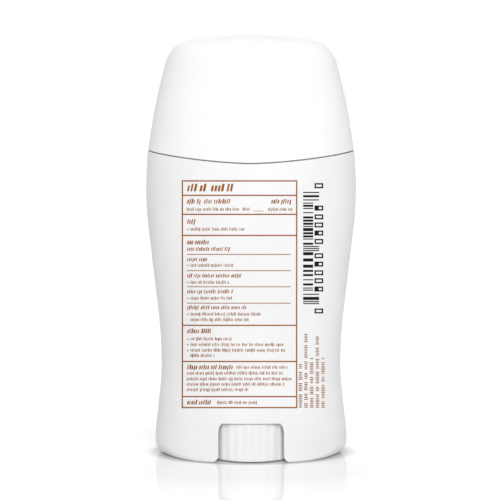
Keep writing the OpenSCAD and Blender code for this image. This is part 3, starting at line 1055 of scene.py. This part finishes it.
@dataclass
class BackPanel:
    """The printed panel: a ruled frame with rows of dashes, a bar block and a side column.

    Places are given on the face's middle line (heights) and at the shoulder (widths). The pad
    that prints the panel meets the round face square on, a little from above, so the rows rise
    slightly toward the middle and the columns spread slightly toward the foot.
    """

    ink_mm: float = 0.025
    rule_mm: float = 0.37
    left: float = -19.25
    right: float = 12.8
    frame_rules: tuple[float, ...] = (81.55, 77.5, 72.13, 66.13, 40.2, 29.7, 19.55, 16.4)
    short_rules: tuple[float, ...] = (60.7, 56.03, 51.38, 46.64)
    short_span: Pair = (-17.95, 11.15)
    short_half: float = 0.11
    margin: float = -17.95
    indent: float = -16.95
    bullet_x: Pair = (-17.9, -17.55)
    bullet_half: float = 0.18
    blank_line: tuple[float, float, float, float] = (0.7, 3.5, 73.0, 73.15)
    letters: tuple[int, int] = (3, 9)
    # A dash's reach from the row's middle, as a share of half the row's height: long and short.
    reaches: Pair = (0.95, 0.6)
    rise_odds: float = 0.35
    drop_odds: float = 0.1
    dash_range: Pair = (0.8, 1.3)
    word_gap: float = 1.8
    # The side columns: middle and upper end of each; a dash's thickness, step, half lengths and
    # odds of the long one; the gap between words and the room that the last dash needs.
    columns: tuple[Pair, ...] = ((13.85, 30.1), (15.4, 38.7), (17.0, 31.1), (18.6, 37.2), (20.2, 31.1))
    side_t: float = 0.26
    side_step: float = 0.5
    side_halves: Pair = (0.5, 0.36)
    side_odds: float = 0.6
    side_gap: float = 0.75
    side_room: float = 0.4
    # The bar block: module, the room that the last bar needs, ends, heights with thin bars and
    # with long ones, left end and the right ends of short and long bars. Then the boxes: ends,
    # half height, line and middles.
    bar_mm: float = 0.3
    bar_room: float = 0.2
    bars: Pair = (46.35, 78.5)
    thin_z: tuple[Pair, ...] = ((0.0, 47.4), (61.5, 62.9), (77.3, 99.0))
    long_z: tuple[Pair, ...] = ((0.0, 49.6), (61.6, 62.9), (75.4, 99.0))
    bar_x: Triple = (14.6, 17.42, 19.1)
    box_x: Pair = (17.8, 20.25)
    box_half: float = 0.72
    box_line: float = 0.4
    boxes: tuple[float, ...] = (80.2, 73.9, 71.4, 69.1, 66.8, 64.4, 60.3, 57.9, 55.4, 53.1, 50.7, 44.35)
    # The pad: height at which widths are true, its own height and distance, spread for each
    # millimetre down, and the longest step of a slab's mesh along and up.
    pad: Triple = (77.0, 132.0, 527.0)
    spread: float = 0.00033
    steps: Pair = (0.9, 2.5)
    form: Form = field(default_factory=Form)
    rng: np.random.Generator = field(default_factory=lambda: np.random.default_rng(11))

    def spot(self, x: Size, z: Size) -> tuple[np.ndarray, np.ndarray]:
        """Carries a place on the artwork over to the round face.

        Args:
            x: distance from the middle, as at the shoulder.
            z: height, as on the middle line.

        Returns:
            The place's own x and z on the face.
        """
        x, z = np.asarray(x, float), np.asarray(z, float)
        true_z, pad_z, pad_off = self.pad
        x = x * (1 + self.spread * (true_z - z))
        fall = OUTLINE.front(np.zeros_like(x), z) - OUTLINE.front(x, z)
        x = x * (1 + fall / pad_off)
        return x, z - fall * (pad_z - z) / pad_off

    def patch(self, x0: float, x1: float, z0: float, z1: float, lean: float = 0.0) -> None:
        """Adds a thin slab of ink that follows the face.

        Args:
            x0: left end.
            x1: right end.
            z0: lower edge.
            z1: upper edge.
            lean: how far it leans to the right for each millimetre up.
        """
        nx, nz = (max(1, ceil(size / step)) for size, step in zip((x1 - x0, z1 - z0), self.steps))
        xs, zs = np.meshgrid(np.linspace(x0, x1, nx + 1), np.linspace(z0, z1, nz + 1))
        x, z = self.spot(xs + lean * (zs - z0), zs)
        depth = OUTLINE.front(x, z)
        tops, roots = (self.form.add_ring(np.stack([x, -depth + deep, z], axis=2).reshape(-1, 3))
                       for deep in (-self.ink_mm, self.ink_mm))
        row, faces = nx + 1, self.form.faces
        for j in range(nz):
            for i in range(nx):
                k = j * row + i
                faces.append((tops[k], tops[k + 1], tops[k + row + 1], tops[k + row]))
                faces.append((roots[k], roots[k + row], roots[k + row + 1], roots[k + 1]))
        rim = list(range(nx)) + [j * row + nx for j in range(nz)]
        rim += [nz * row + i for i in range(nx, 0, -1)] + [j * row for j in range(nz, 0, -1)]
        for k, m in zip(rim, rim[1:] + rim[:1]):
            faces.append((tops[k], roots[k], roots[m], tops[m]))

    def words(self, start: float, stop: float, z: float, weight: Weight) -> None:
        """Fills a row with words of small upright dashes.

        Args:
            start: the row's left end.
            stop: its right end.
            z: its middle.
            weight: how heavy it is.
        """
        (tall, dash, gap, lean), (far, near) = weight.value, self.reaches
        x = start
        while x < stop - dash:
            for _ in range(int(self.rng.integers(*self.letters))):
                if x + dash > stop:
                    break
                up = tall / 2 * (far if self.rng.random() < self.rise_odds else near)
                down = tall / 2 * (far if self.rng.random() < self.drop_odds else near)
                wide = dash * float(self.rng.uniform(*self.dash_range))
                self.patch(x, x + wide, z - down, z + up, lean)
                x += dash + gap
            x += gap * self.word_gap

    def column(self, x: float, low: float, high: float) -> None:
        """Fills a column with dashes that lie across it, for a row turned on its side.

        Args:
            x: the column's middle.
            low: its lower end.
            high: its upper end.
        """
        z, (far, near) = low, self.side_halves
        while z < high - self.side_room:
            for _ in range(int(self.rng.integers(*self.letters))):
                if z + self.side_room > high:
                    break
                wide = far if self.rng.random() < self.side_odds else near
                self.patch(x - wide, x + wide, z, z + self.side_t)
                z += self.side_step
            z += self.side_gap

    def orange(self) -> None:
        """Lays out all that is printed in the orange ink: frame, rules, rows and side columns."""
        half, thin = self.rule_mm / 2, self.short_half
        top, foot = self.frame_rules[0], self.frame_rules[-1]
        for z in self.frame_rules:
            self.patch(self.left, self.right, z - half, z + half)
        for x in (self.left, self.right):
            self.patch(x - half, x + half, foot - half, top + half)
        for z in self.short_rules:
            self.patch(*self.short_span, z - thin, z + thin)
        edge, inner = self.margin, self.indent
        title, bold, firm, light = Weight
        # Each row: height of its middle, weight, left end, right end.
        rows = (
            (79.45, title, edge, -12.2), (79.45, title, -11.3, -4.8),
            (75.7, bold, edge, -13.8), (75.7, bold, -13.2, -6.0), (75.7, bold, 5.6, 11.4),
            (73.5, light, edge, -3.1), (73.5, light, -2.3, 0.3), (73.5, light, 4.8, 11.6),
            (69.95, bold, edge, -15.5), (67.85, light, inner, -1.8),
            (64.1, bold, edge, -11.5), (62.15, firm, edge, -6.1),
            (59.2, firm, edge, -12.0), (57.5, light, inner, -4.8),
            (54.5, firm, edge, -2.8), (52.6, light, inner, -5.9),
            (49.9, firm, edge, -5.3), (48.05, light, inner, -5.3),
            (45.3, firm, edge, -1.3), (43.4, light, inner, 2.7), (41.8, light, inner, -0.3),
            (38.4, bold, edge, -10.8), (36.2, light, inner, -5.2), (34.55, light, inner, 9.3),
            (32.9, light, inner, 10.0), (31.35, light, inner, -10.2),
            (27.95, bold, edge, -4.7), (27.95, light, -4.1, 10.4), (26.25, light, edge, 9.3),
            (24.6, light, edge, 11.4), (23.05, light, edge, 9.4), (21.5, light, edge, -0.5),
            (17.8, bold, edge, -10.4), (17.8, light, -9.5, 1.8))
        # Rows that carry on the one above them, and so have no bullet.
        runs_on = (41.8, 31.35)
        for z, weight, start, stop in rows:
            self.words(start, stop, z, weight)
            if start == inner and z not in runs_on:
                self.patch(*self.bullet_x, z - self.bullet_half, z + self.bullet_half)
        self.patch(*self.blank_line)
        for x, high in self.columns:
            self.column(x, foot, high)

    def black(self) -> None:
        """Lays out the block of bars and the column of plain boxes beside it."""
        (z, high), one, (left, short, long) = self.bars, self.bar_mm, self.bar_x
        while z < high - self.bar_room:
            thin = any(low < z < top for low, top in self.thin_z)
            bar = min(one * (1 if thin else int(self.rng.choice((1, 1, 1, 2, 2, 3)))), high - z)
            guard = any(low < z < top for low, top in self.long_z)
            self.patch(left, long if guard else short, z, z + bar)
            z += bar + one * (1 if thin else int(self.rng.choice((1, 1, 2, 2, 3))))
        (x0, x1), line = self.box_x, self.box_line
        for i, z in enumerate(self.boxes):
            low, high = z - self.box_half, z + self.box_half
            self.patch(x0, x1, low, low + line)
            self.patch(x0, x1, high - line, high)
            self.patch(x0, x0 + (3 * line if i % 3 == 1 else line), low + line, high - line)
            self.patch(x1 - line, x1, low + line, high - line)

    def build(self) -> None:
        """Builds both prints, one piece for each ink, and dresses them."""
        for name, lay_out, ink in (("print_orange", self.orange, Finish.ORANGE),
                                   ("print_black", self.black, Finish.BLACK)):
            self.form = Form()
            lay_out()
            place(self.form.piece(name, crease=20), "pack", ink, "barrel")


# The studio


@dataclass
class Studio:
    """The table, the soft boxes and the camera."""

    camera_at: Triple = (-0.29, -542.56, 132.08)
    camera_down: float = 7.59
    lens: float = 135.7
    table_half: float = 1500.0
    look_at: Triple = (0.0, 0.0, 60.0)
    lamps: tuple[tuple[str, Triple, float, float], ...] = (
        ("front_box", (100.0, -1250.0, 740.0), 900.0, 13.1),
        ("over_box", (0.0, 330.0, 1250.0), 520.0, 1.8),
        ("back_box", (-150.0, 1300.0, 560.0), 900.0, 5.5))
    around: float = 0.46

    def camera(self) -> None:
        """Sets up the camera at the photograph's viewing angle."""
        data = bpy.data.cameras.new("camera")
        data.sensor_fit, data.sensor_width, data.lens = "HORIZONTAL", 36.0, self.lens
        data.clip_start, data.clip_end = 0.01, 20.0
        made = bpy.data.objects.new("camera", data)
        made.location = [v * MM for v in self.camera_at]
        made.rotation_euler = (radians(90 - self.camera_down), 0, 0)
        bpy.context.scene.collection.objects.link(made)
        bpy.context.scene.camera = made

    def table(self) -> None:
        """Builds the table top, with a softened edge."""
        h = self.table_half
        form = Form()
        rings = [np.array([(-s, -s, z), (s, -s, z), (s, s, z), (-s, s, z)])
                 for s, z in ((h - 2, -0.02), (h, -2.0), (h, -20.0))]
        form.skin(rings, capped=True)
        top = form.piece("table_top")
        top.data.materials.append(Finish.TABLE.value.material())

    def light(self) -> None:
        """Hangs the round soft boxes and sets the even light all round."""
        for name, spot, size, watts in self.lamps:
            data = bpy.data.lights.new(name, "AREA")
            data.shape, data.size, data.energy = "DISK", size * MM, watts
            lamp = bpy.data.objects.new(name, data)
            lamp.location = [v * MM for v in spot]
            aim = Vector(self.look_at) - Vector(spot)
            lamp.rotation_euler = aim.to_track_quat("-Z", "Y").to_euler()
            lamp.visible_camera = False
            # Only the front box shows in the gloss, or the crown's far edge burns out.
            lamp.visible_glossy = name == "front_box"
            bpy.context.scene.collection.objects.link(lamp)
        world = bpy.data.worlds.new("studio")
        bpy.context.scene.world = world
        world.use_nodes = True
        tree = world.node_tree
        tree.nodes.clear()
        dim, white = (add_node(tree, "ShaderNodeBackground", {"Color": (1, 1, 1, 1), "Strength": power})
                      for power in (self.around, 1.0))
        both = add_node(tree, "ShaderNodeMixShader", {
            0: background_ray(tree), 1: dim.outputs[0], 2: white.outputs[0]})
        add_node(tree, "ShaderNodeOutputWorld", {"Surface": both.outputs[0]})

    def build(self) -> None:
        """Sets up camera, table and light."""
        self.camera()
        self.table()
        self.light()
        bpy.context.scene.view_settings.view_transform = "Standard"


def main() -> None:
    """Builds the pack, piece by piece, and the studio round it."""
    logging.basicConfig(level=logging.INFO, format="%(name)s: %(message)s")
    for part in (Studio(), Barrel(), Cap(), ApplicatorHead(), Dial(), Fill(), InnerWorks(), BackPanel()):
        part.build()
        LOG.info("%s done", type(part).__name__)


if __name__ == "__main__":
    main()
